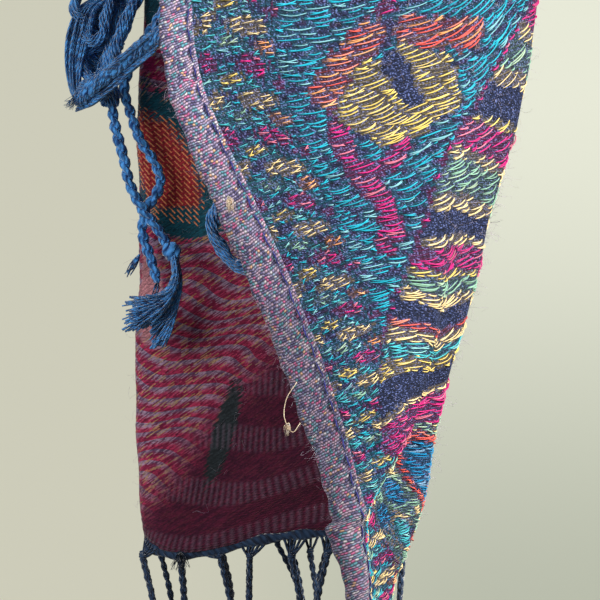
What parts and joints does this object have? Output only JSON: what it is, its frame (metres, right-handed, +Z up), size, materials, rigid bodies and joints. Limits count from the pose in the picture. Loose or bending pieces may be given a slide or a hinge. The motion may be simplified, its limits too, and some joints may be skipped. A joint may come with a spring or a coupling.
{
  "type": "folded pashmina scarf",
  "caption": "Woven floral pashmina scarf, folded and hanging from its middle, with stitched hems and twisted, knotted fringe at both ends.",
  "frame": {"origin": "middle of the top fold, where the scarf is held", "axes": "+Z up along the hanging scarf; the front layer faces -Y and its hem is at the left, -X"},
  "size_m": [0.1212, 0.1229, 1.054],
  "materials": {
    "cloth": "patterned wool weave",
    "hem": "speckled twill hem",
    "outer_fringe": "twisted wool yarn",
    "inner_fringe": "twisted wool yarn"
  },
  "bodies": {
    "root": {"outer_fall": "cloth", "top_fold": "cloth", "inner_fall": "cloth", "front_hem": "hem", "rear_hem": "hem", "outer_fringe": "outer_fringe", "inner_fringe": "inner_fringe"}
  },
  "joints": []
}
